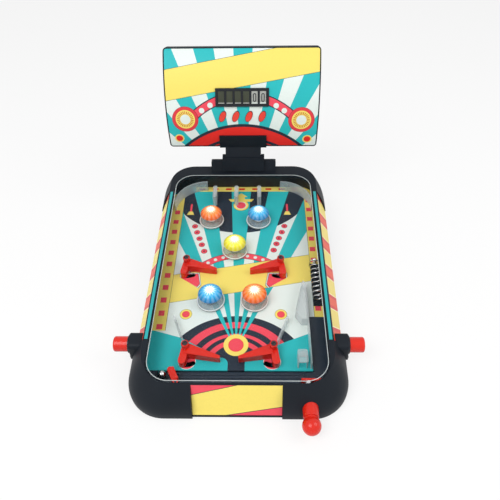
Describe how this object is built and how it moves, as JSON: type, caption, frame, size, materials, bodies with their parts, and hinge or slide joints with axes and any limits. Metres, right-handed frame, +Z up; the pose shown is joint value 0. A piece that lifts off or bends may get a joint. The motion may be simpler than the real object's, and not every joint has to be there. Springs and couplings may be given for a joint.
{
  "type": "tabletop pinball game",
  "caption": "Tabletop pinball game with a sloping deck under a clear window, flippers worked by side buttons, bumpers, a spring plunger and a curved scoreboard.",
  "frame": {"origin": "centre of the bounding box on the table plane", "axes": "+Z up from the table, +Y from the player towards the scoreboard, +X to the player's right"},
  "size_m": [0.324, 0.4994, 0.2877],
  "materials": {
    "black": "satin moulded plastic",
    "window": "clear polished sheet",
    "clear": "clear moulded plastic",
    "red": "glossy moulded plastic",
    "teal": "glossy printed strip",
    "print_deck": "printed sheet on plastic",
    "print_side": "printed sheet on plastic",
    "print_label": "printed card",
    "print_board": "printed sheet on plastic",
    "display": "glossy dark window",
    "lens_red": "glossy translucent plastic",
    "cap_orange": "translucent plastic",
    "cap_blue": "translucent plastic",
    "cap_yellow": "translucent plastic",
    "lamp": "diffused lamp plastic",
    "white": "moulded plastic",
    "steel": "bright steel",
    "battery": "plain wrapped cell",
    "circuit": "circuit board",
    "rubber": "soft rubber"
  },
  "bodies": {
    "cabinet": {"rim_frame": "black", "window_cover": "window", "trim_strips": "teal", "front_fascia": "black", "rear_fascia": "black", "side_panel_left": "print_side", "side_panel_right": "print_side", "front_label": "print_label", "lower_housing": "black", "playfield": "print_deck", "ball_trough": "black", "button_housing_left": "black", "button_housing_right": "black", "return_spring_left": "steel", "return_spring_right": "steel", "flipper_pivots": "steel", "bumper_caps_orange": "cap_orange", "bumper_caps_blue": "cap_blue", "bumper_caps_yellow": "cap_yellow", "bumper_stems": "clear", "bumper_lamps": "lamp", "top_guides": "clear", "lane_divider": "clear", "inlane_guides": "clear", "lane_coil": "steel", "coil_post": "white", "plunger_collar": "red", "plunger_spring": "steel", "scoreboard_housing": "black", "scoreboard_face": "print_board", "score_display": "display", "score_lenses": "lens_red", "scoreboard_neck": "black", "scoreboard_socket": "black", "batteries": "battery", "battery_box": "black", "battery_contacts": "steel", "battery_door": "black", "speaker": "black", "main_board": "circuit", "rubber_feet": "rubber", "deck_screws": "steel"},
    "left_button": {"button_cap_left": "red", "link_bar_left": "black"},
    "right_button": {"button_cap_right": "red", "link_bar_right": "black"},
    "flipper_lower_left": {"flipper_lower_left": "red"},
    "flipper_upper_left": {"flipper_upper_left": "red"},
    "flipper_lower_right": {"flipper_lower_right": "red"},
    "flipper_upper_right": {"flipper_upper_right": "red"},
    "skirt_top_left": {"bumper_skirt_top_left": "clear"},
    "skirt_top_right": {"bumper_skirt_top_right": "clear"},
    "skirt_middle": {"bumper_skirt_middle": "clear"},
    "skirt_lower_left": {"bumper_skirt_lower_left": "clear"},
    "skirt_lower_right": {"bumper_skirt_lower_right": "clear"},
    "plunger": {"plunger_knob": "red", "plunger_rod": "red"},
    "ball_lever": {"release_lever": "red"},
    "ball": {"steel_ball": "steel"},
    "switch_knob": {"power_switch": "black"}
  },
  "joints": [
    {"name": "left_button_slide", "type": "slide", "parent": "cabinet", "child": "left_button", "axis": [1, 0, 0], "range_m": [0, 0.01282], "stiffness_N_per_m": 160, "springref_m": -0.012, "deforming": ["return_spring_left"]},
    {"name": "right_button_slide", "type": "slide", "parent": "cabinet", "child": "right_button", "axis": [-1, 0, 0], "range_m": [0, 0.01282], "stiffness_N_per_m": 160, "springref_m": -0.012, "deforming": ["return_spring_right"]},
    {"name": "flipper_lower_left_pivot", "type": "hinge", "parent": "cabinet", "child": "flipper_lower_left", "pos_m": [-0.0691, -0.13692, 0.0246], "axis": [0, -0.1132, 0.9936], "range_deg": [0, 38]},
    {"name": "flipper_upper_left_pivot", "type": "hinge", "parent": "cabinet", "child": "flipper_upper_left", "pos_m": [-0.0816, 0.00854, 0.04117], "axis": [0, -0.1132, 0.9936], "range_deg": [0, 38]},
    {"name": "flipper_lower_right_pivot", "type": "hinge", "parent": "cabinet", "child": "flipper_lower_right", "pos_m": [0.0454, -0.13692, 0.0246], "axis": [0, 0.1132, -0.9936], "range_deg": [0, 38]},
    {"name": "flipper_upper_right_pivot", "type": "hinge", "parent": "cabinet", "child": "flipper_upper_right", "pos_m": [0.0585, 0.00825, 0.04113], "axis": [0, 0.1132, -0.9936], "range_deg": [0, 38]},
    {"name": "skirt_top_left_press", "type": "slide", "parent": "cabinet", "child": "skirt_top_left", "axis": [0, 0.1132, -0.9936], "range_m": [0, 0.0012], "stiffness_N_per_m": 300, "springref_m": -0.0006},
    {"name": "skirt_top_right_press", "type": "slide", "parent": "cabinet", "child": "skirt_top_right", "axis": [0, 0.1132, -0.9936], "range_m": [0, 0.0012], "stiffness_N_per_m": 300, "springref_m": -0.0006},
    {"name": "skirt_middle_press", "type": "slide", "parent": "cabinet", "child": "skirt_middle", "axis": [0, 0.1132, -0.9936], "range_m": [0, 0.0012], "stiffness_N_per_m": 300, "springref_m": -0.0006},
    {"name": "skirt_lower_left_press", "type": "slide", "parent": "cabinet", "child": "skirt_lower_left", "axis": [0, 0.1132, -0.9936], "range_m": [0, 0.0012], "stiffness_N_per_m": 300, "springref_m": -0.0006},
    {"name": "skirt_lower_right_press", "type": "slide", "parent": "cabinet", "child": "skirt_lower_right", "axis": [0, 0.1132, -0.9936], "range_m": [0, 0.0012], "stiffness_N_per_m": 300, "springref_m": -0.0006},
    {"name": "plunger_pull", "type": "slide", "parent": "cabinet", "child": "plunger", "axis": [0, -0.9936, -0.1132], "range_m": [0, 0.018], "stiffness_N_per_m": 180, "springref_m": -0.01, "deforming": ["plunger_spring"]},
    {"name": "ball_lever_pivot", "type": "hinge", "parent": "cabinet", "child": "ball_lever", "pos_m": [-0.077, -0.185, 0.01912], "axis": [0, 0.1132, -0.9936], "range_deg": [0, 45], "stiffness_Nm_per_rad": 0.002, "springref_deg": -8.59},
    {"name": "ball_roll", "type": "slide", "parent": "cabinet", "child": "ball", "axis": [1, 0, 0], "range_m": [0, 0.0025]},
    {"name": "power_switch_slide", "type": "slide", "parent": "cabinet", "child": "switch_knob", "axis": [1, 0, 0], "range_m": [0, 0.004]}
  ],
  "couplings": [
    {"joint": "flipper_lower_left_pivot", "follows": "left_button_slide", "rad_per_m": 51.714},
    {"joint": "flipper_upper_left_pivot", "follows": "left_button_slide", "rad_per_m": 51.714},
    {"joint": "flipper_lower_right_pivot", "follows": "right_button_slide", "rad_per_m": 51.714},
    {"joint": "flipper_upper_right_pivot", "follows": "right_button_slide", "rad_per_m": 51.714}
  ]
}
